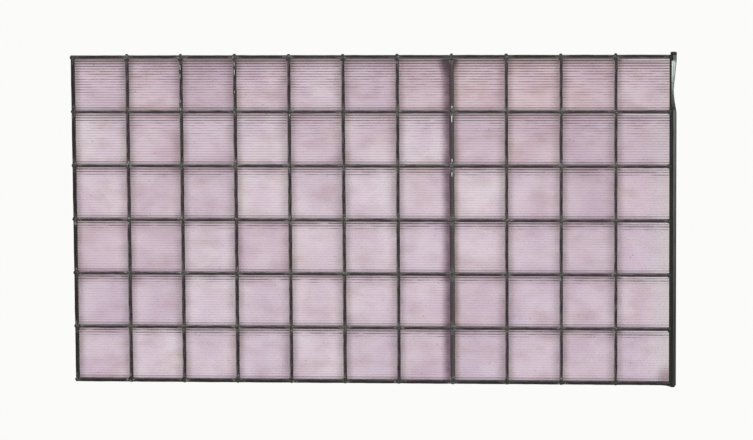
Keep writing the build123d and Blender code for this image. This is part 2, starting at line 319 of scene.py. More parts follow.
# Painted highlights: pale lines 6 mm under the level lines, in the last column's tiles alone.
light_line_drop = 6.0
last_column_line = column_line(tile_columns - 1)
painted_light_line = add(glass, "Math", {"operation": "SUBTRACT", 1: light_line_drop}, {0: below_line})
painted_light_line = add(glass, "Math", {"operation": "ABSOLUTE"}, {0: painted_light_line})
painted_light_line = add(glass, "MapRange", {**eased, "From Min": 1.6, "From Max": 0.6}, {"Value": painted_light_line})
light_line_reach = add(glass, "MapRange",
                  {"From Min": last_column_line + 8.0, "From Max": last_column_line + 16.0},
                  {"Value": axes.outputs["X"]})
painted_light_line = add(glass, "Math", times, {0: painted_light_line, 1: light_line_reach})
painted_light_line = add(glass, "Math", capped_times, {0: painted_light_line, 1: streak_share})
tint = add(glass, "Mix", {**blend, 7: colour("#FBF8FA")}, {0: painted_light_line, 6: tint})

# Specks: a few dark spots of paint and tar, 1 to 3 mm across.
speck_spacing = 24.0
speck = add(glass, "TexVoronoi", {"feature": "F1", "Scale": 1 / speck_spacing, "Randomness": 1.0},
            {"Vector": millimetres})
from_speck = speck.outputs["Distance"]
speck_share = add(glass, "MapRange", {"From Min": 0.055, "From Max": 0.03}, {"Value": from_speck})
tint = add(glass, "Mix", {**multiply_blend, 7: colour("#7A6468")}, {0: speck_share, 6: tint})
wire(glass, glass_shader, {"Base Color": tint})

# The tiles' shape: the stations across one, and the heights up one, set close where a rib turns.
tile_x = np.linspace(-tile_side / 2, tile_side / 2, 9)
rib_steps = np.array([0.0, 0.3, 0.9, 2.2, 3.1, 3.5, 3.75, 4.0, 4.4, 4.75])
rib_heights = (rib_land - rib_drop + rib_pitch * np.arange(rib_count)[:, None] + rib_steps).ravel()
rib_top = rib_land - rib_drop + rib_pitch * rib_count
tile_z = np.concatenate([[0, 0.9, 1.5, 1.8], rib_heights,
                         rib_top + np.array([0, 0.25, 0.7, 2.4, rib_land + rib_drop])])
# The tiles that stand out, as (row from the top, column from the left).
clear_tiles = {(1, 5), (2, 1), (2, 4), (2, 6), (2, 7), (3, 4), (3, 6), (3, 7), (3, 8), (4, 3), (4, 5), (4, 6),
               (5, 3), (5, 6), (6, 2), (6, 5)}
pink_tiles = {(1, 8), (1, 9), (1, 10), (2, 9)}
deep_tiles = {(1, 3), (2, 9), (2, 10), (2, 11), (3, 2), (3, 3), (3, 10), (4, 1), (4, 2), (4, 10),
              (5, 1), (5, 2), (5, 8), (6, 10)}
# How far a clear and a deep tile stand from the rest, how far chance moves any tile, and how high
# the pressed face waves.
clear_step = 0.5
deep_step = -0.4
batch_spread = 0.22
surface_wave = 0.015
for column in range(tile_columns):
    loops, depths, hues = [], [], []
    for row in range(tile_rows):
        x = (column_line(column) + column_line(column + 1)) / 2 + tile_x
        z = row_line(row) + tile_gap + tile_z
        lean, swell, chance, hue = rng.uniform(-1, 1, 4)
        wave = surface_wave * np.sin(x[:, None] / 9.0 + lean * 4) * np.cos(z[None, :] / 13.0 + swell * 4)
        front = tile_front + wave
        back = np.broadcast_to(rib_profile(tile_z), front.shape)
        x_grid, z_grid = np.meshgrid(x, z, indexing="ij")
        front_face = np.stack([x_grid, front, z_grid], axis=-1)
        back_face = np.stack([x_grid, back, z_grid], axis=-1)
        loops.append(np.concatenate([front_face, back_face[:, ::-1]], axis=1))
        tile = (tile_rows - row, column + 1)
        standing = clear_step if tile in clear_tiles else deep_step if tile in deep_tiles else 0.0
        points = loops[-1].shape[0] * loops[-1].shape[1]
        depths.append(np.full(points, standing + batch_spread * chance))
        # The upper rows are a little warmer, and the pink tiles much more so.
        warmth = 0.08 + 0.08 * row + 0.2 * hue + (0.5 if tile in pink_tiles else 0)
        hues.append(np.full(points, warmth))
    tags = {"batch_depth": np.concatenate(depths), "batch_hue": np.concatenate(hues)}
    add_piece(f"lilac_tiles_column_{column + 1:02d}", loops, f"prism_tiles_column_{column + 1:02d}",
              glass, tags)

# Inner cames: rolled zinc of H section, a quarter inch wide on the face. The uprights run through
# from border to border, and the level ones are cut between them. The seventh upright is broader.
flange_reach = 3.2
barred_reach = 4.4
butt_gap = 0.1
face_half = 5.3
bed_half = 4.1
heart = [0.84, 0.8]
came_levels = np.array([0.0, 0.04, 0.18, 0.44, 0.75, 1.15, 1.2, 1.35]) - face_half
came_levels = np.concatenate([came_levels, -came_levels[::-1]])


def came_reaches(reach):
    """How far the H reaches at each level of came_levels: crowned flanges and a 1.6 mm heart."""
    half = [reach * 0.35, reach * 0.72, reach - 0.35, reach - 0.06, reach, reach - 0.04, *heart]
    return np.array(half + half[::-1])


def drift(places, size, length, count=4):
    """A gentle waver along a length: sines whose size falls as one over their number, with seeded
    phases, and a stretch that keeps one length from repeating the last."""
    stretch = 1.37
    waves = np.arange(1, count + 1)
    phases = rng.uniform(0, 2 * math.pi, count)
    angles = 2 * math.pi * places[:, None] / length * waves * stretch + phases
    return size * (np.sin(angles) / waves).sum(axis=1)


def carried(left, right, levels, path_start, path_end, steps, upright, sway=0.16):
    """A came's section carried along a straight path: left and right are the reaches across it at
    each level of depth. As rolled strip does, the section sways over 150 mm, swells by about 1 %
    over 60 mm and lifts by 0.05 mm over 90 mm. Returns an array (stations, points, 3), the across
    axis X for an upright came and Z for a level one."""
    along = np.linspace(path_start, path_end, steps)
    across = np.concatenate([left, right[::-1]])
    depth = np.concatenate([levels, levels[::-1]])
    side = drift(along, sway, 150.0)
    swell = 1 + drift(along, 0.012, 60.0)
    lift = drift(along, 0.05, 90.0)
    across = across[None, :] * swell[:, None] + side[:, None]
    depth = depth[None, :] + lift[:, None]
    line = np.broadcast_to(along[:, None], across.shape)
    return np.stack([across, depth, line] if upright else [line, depth, across], axis=-1)


# Weathered zinc: a dull grey patina, nearly black, one edge of the face painted lighter as a highlight
# on the inner cames, and pale streaks and flecks of old flux by the crossings, flecks that paint glints too.
def weathered_zinc(name, axis, light_side, dark, pale, light_edge_from, light_edge_to, metallic=0.6, smear="#524E4D"):
    """The patina for cames along one direction: axis is the one across their faces, light_side is the
    side (1 or -1 along it) whose edge is painted lighter, from the first to the second given distance
    in millimetres off its line, on the inner cames as a painted highlight. lines holds the distance to
    the nearest line each way, from -52 to 52 mm."""
    metal, shader = finish(name, {"Metallic": metallic})
    wander_length = 22.0
    fleck_width = 3.4
    place = add(metal, "TexCoord")
    millimetres = add(metal, "VectorMath", to_millimetres, {0: place.outputs["Object"]})
    axes = add(metal, "SeparateXYZ", None, {0: millimetres})
    shifts = {"X": tile_columns / 2 + 0.5, "Z": 0.5 - bottom_line / grid_pitch}
    lines = {}
    for letter, shift in shifts.items():
        line = add(metal, "Math", {"operation": "MULTIPLY_ADD", 1: 1 / grid_pitch, 2: shift},
                   {0: axes.outputs[letter]})
        line = add(metal, "Math", {"operation": "FRACT"}, {0: line})
        lines[letter] = add(metal, "Math", {"operation": "MULTIPLY_ADD", 1: grid_pitch, 2: -grid_pitch / 2},
                            {0: line})
    wander = add(metal, "TexNoise", {"Scale": 1 / wander_length, "Detail": 3.0, "Roughness": 0.6},
                 {"Vector": millimetres})
    wander = add(metal, "Math", {"operation": "MULTIPLY_ADD", 1: 4.0, 2: -2.0}, {0: wander})
    # The face painted lighter along one edge: on the inner cames a painted highlight.
    side = add(metal, "Math", {"operation": "MULTIPLY_ADD", 1: light_side}, {0: lines[axis], 2: wander})
    light_edge = add(metal, "MapRange", {**eased, "From Min": light_edge_from, "From Max": light_edge_to}, {"Value": side})
    grain_scale = (0.05, 0.6, 0.9) if axis == "Z" else (0.9, 0.6, 0.05)
    grain_place = add(metal, "Mapping", {"Scale": grain_scale}, {"Vector": millimetres})
    grain = add(metal, "TexNoise", {"Scale": 1.0, "Detail": 4.0, "Roughness": 0.65}, {"Vector": grain_place})
    grain_share = add(metal, "MapRange", {"From Min": 0.5, "From Max": 0.7, "To Max": 0.45}, {"Value": grain})
    share = add(metal, "Math", {"operation": "MAXIMUM"}, {0: light_edge, 1: grain_share})
    tone = add(metal, "Mix", {**blend, 6: colour(dark), 7: colour(pale)}, {0: share})
    across = add(metal, "Math", {"operation": "ABSOLUTE"}, {0: lines["X"]})
    up = add(metal, "Math", {"operation": "ABSOLUTE"}, {0: lines["Z"]})
    crossing = add(metal, "Math", {"operation": "MAXIMUM"}, {0: across, 1: up})
    near = add(metal, "MapRange", {**eased, "From Min": 17.0, "From Max": 4.0, "To Min": 0.05},
               {"Value": crossing})
    smeared = add(metal, "MapRange", {"From Min": 0.4, "From Max": 0.6}, {"Value": grain})
    smeared = add(metal, "Math", times, {0: smeared, 1: near})
    tone = add(metal, "Mix", {**blend, 7: colour(smear)}, {0: smeared, 6: tone})
    # Pale flecks of flux by the crossings, which also paint the glints there.
    fleck = add(metal, "TexNoise", {"Scale": 1 / fleck_width, "Detail": 2.0}, {"Vector": millimetres})
    fleck_and_glint_share = add(metal, "MapRange", {"From Min": 0.54, "From Max": 0.7}, {"Value": fleck})
    fleck_and_glint_share = add(metal, "Math", times, {0: fleck_and_glint_share, 1: smeared})
    tone = add(metal, "Mix", {**blend, 7: colour("#A3A19F")}, {0: fleck_and_glint_share, 6: tone})
    matt = add(metal, "MapRange", {"To Min": 0.6, "To Max": 0.42}, {"Value": share})
    relief = add(metal, "Bump", {"Strength": 0.35, "Distance": 0.0004}, {"Height": grain})
    wire(metal, shader, {"Base Color": tone, "Roughness": matt, "Normal": relief})
    return metal


upright_zinc = weathered_zinc("weathered_zinc_upright", "X", -1, "#261B20", "#857A7E", 1.1, 2.7)
barred_zinc = weathered_zinc("weathered_zinc_barred", "X", 1, "#3A3035", "#473F41", -2.2, 0.8,
                             smear="#595755")
level_zinc = weathered_zinc("weathered_zinc_level", "Z", 1, "#2C2126", "#756C70", 0.9, 2.9)

upright_foot = row_line(0) + flange_reach + butt_gap
upright_head = row_line(tile_rows) - flange_reach - butt_gap
for number in range(1, tile_columns):
    reach = came_reaches(barred_reach if number == barred_upright else flange_reach)
    loop = carried(-reach, reach, came_levels, upright_foot, upright_head, 130, True)
    loop[:, :, 0] += column_line(number)
    add_piece(f"zinc_upright_{number:02d}", [loop], f"upright_came_{number:02d}",
              barred_zinc if number == barred_upright else upright_zinc)

for line in range(1, tile_rows):
    loops = []
    for column in range(tile_columns):
        left_flange = barred_reach if column == barred_upright else flange_reach
        right_flange = barred_reach if column + 1 == barred_upright else flange_reach
        start = column_line(column) + left_flange + butt_gap
        end = column_line(column + 1) - right_flange - butt_gap
        reach = came_reaches(flange_reach)
        loop = carried(-reach, reach, came_levels, start, end, 24, False)
        loop[:, :, 2] += row_line(line)
        loops.append(loop)
    add_piece(f"zinc_level_cames_{line}", loops, f"cross_cames_line_{line}", level_zinc)

# Border cames: the same zinc, with a channel for the glass on one side and a folded, hollow edge on
# the other, drawn solid. The left one runs full height and the level ones are cut between the sides.
border_reach = 4.0
side_reach = 2.4
channel_bed = np.concatenate([flange_reach - np.array([0.5, 0.2, 0.06, 0.0, 0.0, 0.04]), heart])
outer_edge = border_reach - np.array([0.75, 0.3, 0.1, 0.0, 0.0, 0.0, 0.0, 0.0])
channel_bed = np.concatenate([channel_bed, channel_bed[::-1]])
outer_edge = np.concatenate([outer_edge, outer_edge[::-1]])
panel_height = tile_rows * grid_pitch + 2 * border_reach

# Their patina is darker than the inner cames', nearly black, and lighter towards the glass.
side_border_zinc = weathered_zinc("weathered_zinc_side_border", "X", 1, "#242021", "#4A4646", 1.0, 4.0,
                                  0.85, "#454341")
top_border_zinc = weathered_zinc("weathered_zinc_top_border", "Z", -1, "#232020", "#5E5757", -0.2, 2.2,
                                 0.75, "#4E4C49")
bottom_border_zinc = weathered_zinc("weathered_zinc_bottom_border", "Z", 1, "#262324", "#5A5556", 0.5, 3.6,
                                    0.85, "#494746")

inner_reach = np.minimum(channel_bed, side_reach)
loop = carried(-outer_edge, inner_reach, came_levels, 0.0, panel_height, 130, True, sway=0.1)
loop[:, :, 0] += column_line(0)
add_piece("zinc_left_border", [loop], "left_border_came", side_border_zinc)

level_start = column_line(0) + flange_reach + butt_gap
level_end = right_line - flange_reach - butt_gap
for name, turn, row, metal in (("top", -1, tile_rows, top_border_zinc), ("bottom", 1, 0, bottom_border_zinc)):
    loop = carried(-outer_edge * turn, channel_bed * turn, came_levels, level_start, level_end, 240, False,
                   sway=0.1)
    loop[:, :, 2] += row_line(row)
    add_piece(f"zinc_{name}_border", [loop], f"{name}_border_came", metal)

# Right border: a broader folded zinc edge with a groove down its face. Near its top the front wall
# is torn away over a hand's breadth and the outer wall behind it is dented inwards.
right_reach = 11.0
groove_place = 3.8
groove_half = 0.45
groove_depth = 0.6
crown = 0.65
wall = 1.2
tear_inner = 1.8
tear_top = panel_height - 9.0
tear_foot = panel_height - 110.0
corner_round = 0.9
dent_heights = panel_height - np.array([110.0, 99.0, 88.0, 78.0, 67.0, 56.0, 46.0, 34.0, 24.0, 15.0, 9.0])
dent_depths = np.array([0.0, 1.7, 3.6, 4.9, 5.5, 4.7, 3.4, 2.3, 1.4, 0.5, 0.0])


def wall_line(z):
    """X of the outer wall's outside, from the line through the glass edge, at height z."""
    return right_reach - np.interp(z, dent_heights, dent_depths)


def face_relief(x):
    """Y of the border's front at x: flat, a V groove, a shallow crown, and a rounded last corner."""
    groove = groove_depth * np.clip(1 - np.abs(x - groove_place) / groove_half, 0, 1)
    middle = (groove_place + groove_half + right_reach) / 2
    half = (right_reach - groove_place - groove_half) / 2
    dome = crown * np.clip(1 - ((x - middle) / half) ** 2, 0, 1)
    corner = corner_round * np.clip((x - right_reach + corner_round) / corner_round, 0, 1) ** 2
    return -face_half + groove - dome + corner


# The body: the glass channel, the heart and the back flange with its rounded outer corner.
body_z = np.linspace(0, panel_height, 190)
body_left = np.broadcast_to(-inner_reach, (len(body_z), len(channel_bed)))
front_stub = np.full(8, tear_inner)
front_stub[6:] = heart
back_reach = wall_line(body_z)[:, None] - np.array([wall, wall, 0.4, 0.1, 0.0, 0.3])[None, ::-1]
body_right = np.concatenate([np.broadcast_to(front_stub, (len(body_z), 8)),
                             np.broadcast_to(heart[::-1], (len(body_z), 2)), back_reach], axis=1)
across = np.concatenate([body_left, body_right[:, ::-1]], axis=1)
depth = np.concatenate([came_levels, came_levels[::-1]])
body = np.stack([across, np.broadcast_to(depth, across.shape),
                 np.broadcast_to(body_z[:, None], across.shape)], axis=-1)

# The outer wall, whose front edge is ragged where it is torn.
wall_z = np.concatenate([np.linspace(0, tear_foot, 60), np.linspace(tear_foot, tear_top, 50)[1:],
                         [tear_top + 3, panel_height]])
torn = (wall_z > tear_foot) & (wall_z < tear_top)
wall_front = np.where(torn, -bed_half + 0.5 + drift(wall_z, 0.25, 30.0), -bed_half - 0.1)
wall_back = np.full_like(wall_z, 4.6)
wall_levels = np.stack([wall_front, wall_front + 0.3, wall_back - 0.6, wall_back], axis=1)
outside = wall_line(wall_z)[:, None] - np.array([0.15, 0.0, 0.0, 0.0])
inside = wall_line(wall_z)[:, None] - np.array([wall - 0.15, wall, wall, wall])
across = np.concatenate([inside, outside[:, ::-1]], axis=1)
depth = np.concatenate([wall_levels, wall_levels[:, ::-1]], axis=1)
outer_wall = np.stack([across, depth, np.broadcast_to(wall_z[:, None], across.shape)], axis=-1)


def front_sheet(x, low, high, steps):
    """The front wall over the stations x: each station is a strip from height low to height high,
    its face following face_relief and its inside flat, so that the torn edge can run across it."""
    share = np.linspace(0, 1, steps)
    z = low[:, None] + (high - low)[:, None] * share
    front = np.broadcast_to(face_relief(x)[:, None], z.shape)
    rear = np.maximum(np.full_like(front, -bed_half), front + 0.25)
    x_grid = np.broadcast_to(x[:, None], z.shape)
    face = np.stack([x_grid, front, z], axis=-1)
    inner = np.stack([x_grid, rear, z], axis=-1)
    return np.concatenate([face, inner[:, ::-1]], axis=1)


# The front wall below and above the tear, with a seeded, ragged edge on each.
sheet_x = np.concatenate([[tear_inner, 2.6], groove_place + groove_half * np.array([-1, -0.5, 0, 0.5, 1]),
                          np.linspace(5.2, 9.6, 7), [10.1, 10.4, 10.7, 10.9, right_reach]])
ragged = drift(sheet_x, 0.5, 3.0) + drift(sheet_x, 0.5, 9.0)
torn_drop = np.interp(sheet_x, [tear_inner, groove_place, right_reach], [92.0, 100.0, 109.0])
torn_foot = panel_height - torn_drop + ragged
torn_head = tear_top + np.interp(sheet_x, [tear_inner, right_reach], [-3.0, 1.5]) + ragged[::-1] * 0.6
lower_wall = front_sheet(sheet_x, np.zeros_like(sheet_x), torn_foot, 120)
upper_wall = front_sheet(sheet_x, torn_head, np.full_like(sheet_x, panel_height), 6)
loops = [body, outer_wall, lower_wall, upper_wall]
for loop in loops:
    loop[:, :, 0] += right_line

# The broad border's patina: nearly black and slightly green, with a paler ridge right of the
# groove where it has been rubbed, most of all near the top.
border_zinc, border_shader = finish("weathered_zinc_broad_border", {"Metallic": 0.85, "Roughness": 0.5})
place = add(border_zinc, "TexCoord")
millimetres = add(border_zinc, "VectorMath", to_millimetres, {0: place.outputs["Object"]})
axes = add(border_zinc, "SeparateXYZ", None, {0: millimetres})
rubbing = add(border_zinc, "Mapping", {"Scale": (0.5, 0.5, 0.03)}, {"Vector": millimetres})
rubbing = add(border_zinc, "TexNoise", {"Scale": 1.0, "Detail": 4.0, "Roughness": 0.6}, {"Vector": rubbing})
tone = add(border_zinc, "Mix", {**blend, 6: colour("#1C1D1B"), 7: colour("#313230")}, {0: rubbing})
ridge_line = right_line + 7.0
off = add(border_zinc, "Math", {"operation": "SUBTRACT", 1: ridge_line}, {0: axes.outputs["X"]})
off = add(border_zinc, "Math", {"operation": "ABSOLUTE"}, {0: off})
ridge = add(border_zinc, "MapRange", {**eased, "From Min": 3.3, "From Max": 1.4}, {"Value": off})
rubbed_high = add(border_zinc, "MapRange",
                  {"From Min": 120.0, "From Max": 500.0, "To Min": 0.35, "To Max": 1.9},
                  {"Value": axes.outputs["Z"]})
ridge = add(border_zinc, "Math", times, {0: ridge, 1: rubbed_high})
ridge = add(border_zinc, "Math", capped_times, {0: ridge, 1: rubbing})
tone = add(border_zinc, "Mix", {**blend, 7: colour("#5E625D")}, {0: ridge, 6: tone})
wire(border_zinc, border_shader, {"Base Color": tone})
add_piece("zinc_right_border", loops, "right_border_came", border_zinc)

# The hollow's inside, which the tear lays bare: bright zinc that no weather reached, dulled by dust.
bare_zinc, bare_shader = finish("bare_dusty_zinc", {"Metallic": 0.2, "Roughness": 0.6})
place = add(bare_zinc, "TexCoord")
dusty = add(bare_zinc, "Mapping", {"Scale": (400.0, 400.0, 60.0)}, {"Vector": place.outputs["Object"]})
dusty = add(bare_zinc, "TexNoise", {"Scale": 1.0, "Detail": 4.0}, {"Vector": dusty})
tone = add(bare_zinc, "Mix", {**blend, 6: colour("#AEB9B1"), 7: colour("#E4EEE8")}, {0: dusty})
axes = add(bare_zinc, "SeparateXYZ", None, {0: place.outputs["Object"]})
# The hollow's lower part lies in shade; these two are in metres.
shade_head = (panel_height - 62) / 1000
shade_foot = (panel_height - 92) / 1000
low_share = add(bare_zinc, "MapRange", {**eased, "From Min": shade_head, "From Max": shade_foot},
                {"Value": axes.outputs["Z"]})
tone = add(bare_zinc, "Mix", {**blend, 7: colour("#5C615C")}, {0: low_share, 6: tone})
wire(bare_zinc, bare_shader, {"Base Color": tone})

# A bent sheet of three strips down the hollow, lying deeper where the front wall is still whole.
lining_z = np.linspace(tear_foot - 20, tear_top + 4, 60)
lining_right = wall_line(lining_z) - wall - 0.05
lining_left = np.full_like(lining_z, heart[0] + 0.01)
lining_middle = (lining_left + lining_right) / 2
across = np.stack([lining_left, lining_middle, lining_right], axis=1)
across = np.concatenate([across, across[:, ::-1]], axis=1)
fold = np.clip((lining_z - torn_foot.min() + 6) / 20, 0, 1)[:, None]
depth = fold * [-2.4, -0.4, -1.8, -1.2, 0.2, -1.8] + (1 - fold) * [1.4, 1.6, 1.4, 2.0, 2.2, 2.0]
lining = np.stack([across + right_line, depth, np.broadcast_to(lining_z[:, None], across.shape)], axis=-1)
add_piece("bare_zinc_lining", [lining], None, bare_zinc)

# Stiffening bar: a half-inch flat of galvanised steel on edge behind the seventh upright, tied in
# by the solder at each crossing.
bar_half = 1.6
bar_depth = 12.7
bar_inset = 2.0
bar_round = 0.35
bar_levels = face_half + np.array([0.0, bar_round * 0.3, bar_round, bar_depth / 3, bar_depth * 2 / 3,
                                   bar_depth - bar_round, bar_depth - bar_round * 0.3, bar_depth])
bar_reach = bar_half - bar_round * np.array([1.0, 0.3, 0.0, 0.0, 0.0, 0.0, 0.3, 1.0])

# Old galvanised steel: a dull grey zinc coat with darker blotches, and brown rust where it has gone.
steel, steel_shader = finish("rusty_galvanised_steel", {})
blotch_width = 9.0
place = add(steel, "TexCoord")
millimetres = add(steel, "VectorMath", to_millimetres, {0: place.outputs["Object"]})
blotch = add(steel, "TexNoise", {"Scale": 1 / blotch_width, "Detail": 3.0}, {"Vector": millimetres})
tone = add(steel, "Mix", {**blend, 6: colour("#4A4846"), 7: colour("#85837F")}, {0: blotch})
rust_place = add(steel, "Mapping", {"Scale": (0.12, 0.12, 0.025)}, {"Vector": millimetres})
rust = add(steel, "TexNoise", {"Scale": 1.0, "Detail": 5.0, "Roughness": 0.65}, {"Vector": rust_place})
rust_share = add(steel, "MapRange", {"From Min": 0.52, "From Max": 0.62}, {"Value": rust})
tone = add(steel, "Mix", {**blend, 7: colour("#5B3D2C")}, {0: rust_share, 6: tone})
metal_share = add(steel, "MapRange", {"To Min": 0.85, "To Max": 0.1}, {"Value": rust_share})
matt = add(steel, "MapRange", {"To Min": 0.42, "To Max": 0.85}, {"Value": rust_share})
wire(steel, steel_shader, {"Base Color": tone, "Metallic": metal_share, "Roughness": matt})

loop = carried(-bar_reach, bar_reach, bar_levels, bar_inset, panel_height - bar_inset, 90, True, sway=0.08)
loop[:, :, 0] += column_line(barred_upright)
loop[:, :, 1] = np.maximum(loop[:, :, 1] - 0.1, face_half)
add_piece("steel_bar", [loop], "stiffening_bar", steel)

# Soldered crossings: tin-lead solder flowed over each butt by hand, front and back. Every one is a
# low star with short arms along the cames, and no two are alike.
joint_radius = 4.3
joint_height = 1.1
corner_radius = 3.3
barred_radius = 6.0
barred_height = 2.4
spokes = 28
rings = np.array([1.0, 0.93, 0.8, 0.62, 0.4, 0.2])


def lumps(places, outward, radius, height, arms, uneven=0.09):
    """Lumps of solder, one at each place (count, 3): rings of falling size round a pole, the edge
    pushed out into arms every quarter turn and wavered by seeded sines, and the height the square
    root of one less the share squared. outward is each lump's unit axis. Returns corners, faces."""
    count = len(places)
    outward = np.asarray(outward, float)
    helper = np.where(np.abs(outward[:, 2:]) > 0.5, [[1.0, 0.0, 0.0]], [[0.0, 0.0, 1.0]])
    first = helper - outward * (helper * outward).sum(axis=1, keepdims=True)
    second = np.cross(outward, first)
    turn = np.arange(spokes) * 2 * math.pi / spokes
    phase = rng.uniform(0, 2 * math.pi, (count, 3, 1))
    size = rng.uniform(0.3, 1.0, (count, 3, 1)) * uneven
    edge = 1 + arms * np.cos(4 * turn) + (size * np.sin(np.array([[2], [3], [5]]) * turn + phase)).sum(axis=1)
    reach = radius[:, None, None] * edge[:, None, :] * rings[None, :, None]
    round_wave = np.sin(3 * turn[None, None, :] + phase[:, :1])
    out_wave = np.sin(5 * rings[None, :, None] + phase[:, 1:2])
    bump = 1 + 0.16 * round_wave * out_wave
    rise = height[:, None, None] * np.sqrt(np.clip(1 - rings ** 2, 0, 1))[None, :, None] * bump
    rise = np.minimum(rise, height[:, None, None])
    points = (places[:, None, None, :] + rise[..., None] * outward[:, None, None, :]
              + reach[..., None] * (np.cos(turn)[:, None] * first[:, None, None, :]
                                    + np.sin(turn)[:, None] * second[:, None, None, :]))
    top = places + outward * (height * rng.uniform(0.85, 1.0, count))[:, None]
    base = places - outward * 0.15
    corners = np.concatenate([points.reshape(count, -1, 3), top[:, None], base[:, None]], axis=1)
    per = corners.shape[1]
    index = np.arange(len(rings) * spokes).reshape(len(rings), spokes)
    ahead = np.roll(index, -1, axis=1)
    quads = np.stack([index[:-1], ahead[:-1], ahead[1:], index[1:]], axis=-1).reshape(-1, 4)
    cap = np.stack([index[-1], ahead[-1], np.full(spokes, per - 2)], axis=-1)
    foot = np.stack([ahead[0], index[0], np.full(spokes, per - 1)], axis=-1)
    starts = (np.arange(count) * per)[:, None, None]
    faces = (quads + starts).reshape(-1, 4).tolist() + (cap + starts).reshape(-1, 3).tolist()
    return corners.reshape(-1, 3), faces + (foot + starts).reshape(-1, 3).tolist()


# Aged tin-lead solder: a dull grey skin, black in its hollows, with bright rubbed spots. Soot lies
# over all of it, and blackens it out on the borders.
def aged_solder(name, dark, pale, bright):
    """Solder whose skin runs from dark in the hollows to pale, with spots rubbed bright. The soot
    covers half of that, and three quarters of it near the lines round the glass."""
    metal, shader = finish(name, {"Metallic": 0.7})
    hollow_width = 5.0
    spot_width = 2.6
    soot_over_all = 0.5
    soot_at_border = 0.75
    place = add(metal, "TexCoord")
    millimetres = add(metal, "VectorMath", to_millimetres, {0: place.outputs["Object"]})
    skin = add(metal, "TexNoise", {"Scale": 1 / hollow_width, "Detail": 4.0, "Roughness": 0.6},
               {"Vector": millimetres})
    skin_share = add(metal, "MapRange", {"From Min": 0.4, "From Max": 0.66}, {"Value": skin})
    tone = add(metal, "Mix", {**blend, 6: colour(dark), 7: colour(pale)}, {0: skin_share})
    rubbed = add(metal, "TexNoise", {"Scale": 1 / spot_width, "Detail": 1.0}, {"Vector": millimetres})
    rubbed_share = add(metal, "MapRange", {"From Min": 0.62, "From Max": 0.72}, {"Value": rubbed})
    tone = add(metal, "Mix", {**blend, 7: colour(bright)}, {0: rubbed_share, 6: tone})
    axes = add(metal, "SeparateXYZ", None, {0: millimetres})
    distances = []
    for axis, low, high in (("X", column_line(0), right_line), ("Z", bottom_line, top_line)):
        off = add(metal, "Math", {"operation": "SUBTRACT", 1: (low + high) / 2}, {0: axes.outputs[axis]})
        off = add(metal, "Math", {"operation": "ABSOLUTE"}, {0: off})
        off = add(metal, "Math", {"operation": "SUBTRACT", 1: (high - low) / 2}, {0: off})
        distances.append(add(metal, "Math", {"operation": "ABSOLUTE"}, {0: off}))
    nearest = add(metal, "Math", {"operation": "MINIMUM"}, {0: distances[0], 1: distances[1]})
    soot = add(metal, "MapRange", {"From Min": 9.0, "From Max": 7.0, "To Max": soot_at_border},
               {"Value": nearest})
    soot = add(metal, "Math", {"operation": "MAXIMUM", 1: soot_over_all}, {0: soot})
    tone = add(metal, "Mix", {**blend, 7: colour("#222221")}, {0: soot, 6: tone})
    gloss = add(metal, "MapRange", {"To Min": 0.5, "To Max": 0.28}, {"Value": skin_share})
    relief = add(metal, "Bump", {"Strength": 0.5, "Distance": 0.0006}, {"Height": skin})
    wire(metal, shader, {"Base Color": tone, "Roughness": gloss, "Normal": relief})
    return metal


solder = aged_solder("aged_solder", "#2A2927", "#73716E", "#B2B3AF")
black_solder = aged_solder("blackened_solder", "#191918", "#3E3F3C", "#83847F")

for side, name in ((-1, "front_solder_joints"), (1, "back_solder_joints")):
    places, radii = [], []
    for column in range(tile_columns + 1):
        for row in range(tile_rows + 1):
            shift_x = {0: flange_reach, tile_columns: -flange_reach}.get(column, 0)
            shift_z = {0: flange_reach, tile_rows: -flange_reach}.get(row, 0)
            corner = column in (0, tile_columns) and row in (0, tile_rows)
            if corner:
                shift_z = 0.4 if row else -0.4
            places.append((column_line(column) + shift_x, side * (face_half - 0.1), row_line(row) + shift_z))
            over_bar = side > 0 and column == barred_upright
            radii.append(corner_radius if corner else barred_radius if over_bar else joint_radius)
    places = np.array(places)
    radii = np.array(radii) * rng.uniform(0.86, 1.02, len(radii))
    height = np.where(radii > 5, barred_height, joint_height) * rng.uniform(0.75, 1.0, len(radii))
    corners, faces = lumps(places, [[0, side, 0]] * len(places), radii, height, 0.1)
    skin_object(f"aged_{name}", corners, faces, name, solder, None, 60)

# Bright runs: thin tears of solder on the uprights' faces by the upper crossings, coloured near white:
# pale solder, and painted highlights for the shine they show. Each is (upright, across, foot, head, half
# width), in millimetres from the upright's line and from the panel's foot.
bright_solder = finish("bright_solder", {"Base Color": colour("#DADBD8"), "Metallic": 0.75,
                                         "Roughness": 0.35})[0]
runs = [(7, 0.4, 503.0, 517.0, 0.75), (7, 0.9, 531.0, 535.5, 0.75), (7, 0.7, 428.0, 434.0, 0.75),
        (7, 0.2, 400.0, 409.0, 0.75), (2, -0.4, 603.0, 615.0, 0.4), (2, -0.7, 587.0, 597.0, 0.25),
        (2, 0.0, 540.0, 548.0, 0.25), (2, -0.3, 520.0, 532.0, 0.35), (3, 0.1, 594.0, 606.0, 0.4),
        (3, 0.0, 611.0, 620.0, 0.3), (3, 0.2, 560.0, 565.0, 0.25), (4, 1.6, 516.5, 519.0, 0.7)]
run_share = np.linspace(0, 1, 13)
run_turn = np.linspace(0, math.pi, 9)
loops = []
for number, across, foot, head, half_width in runs:
    half = 0.06 + half_width * np.sqrt(np.sin(math.pi * run_share))
    x = across + column_line(number) + half[:, None] * np.cos(run_turn)
    y = -face_half + 0.1 - half[:, None] * 0.8 * np.sin(run_turn)
    z = np.broadcast_to((foot + (head - foot) * run_share)[:, None], x.shape)
    skin = np.stack([x, y, z], axis=-1)
    bed = np.stack([x, np.full_like(y, -face_half + 0.3), z], axis=-1)
    loops.append(np.concatenate([skin, bed[:, ::-1]], axis=1))
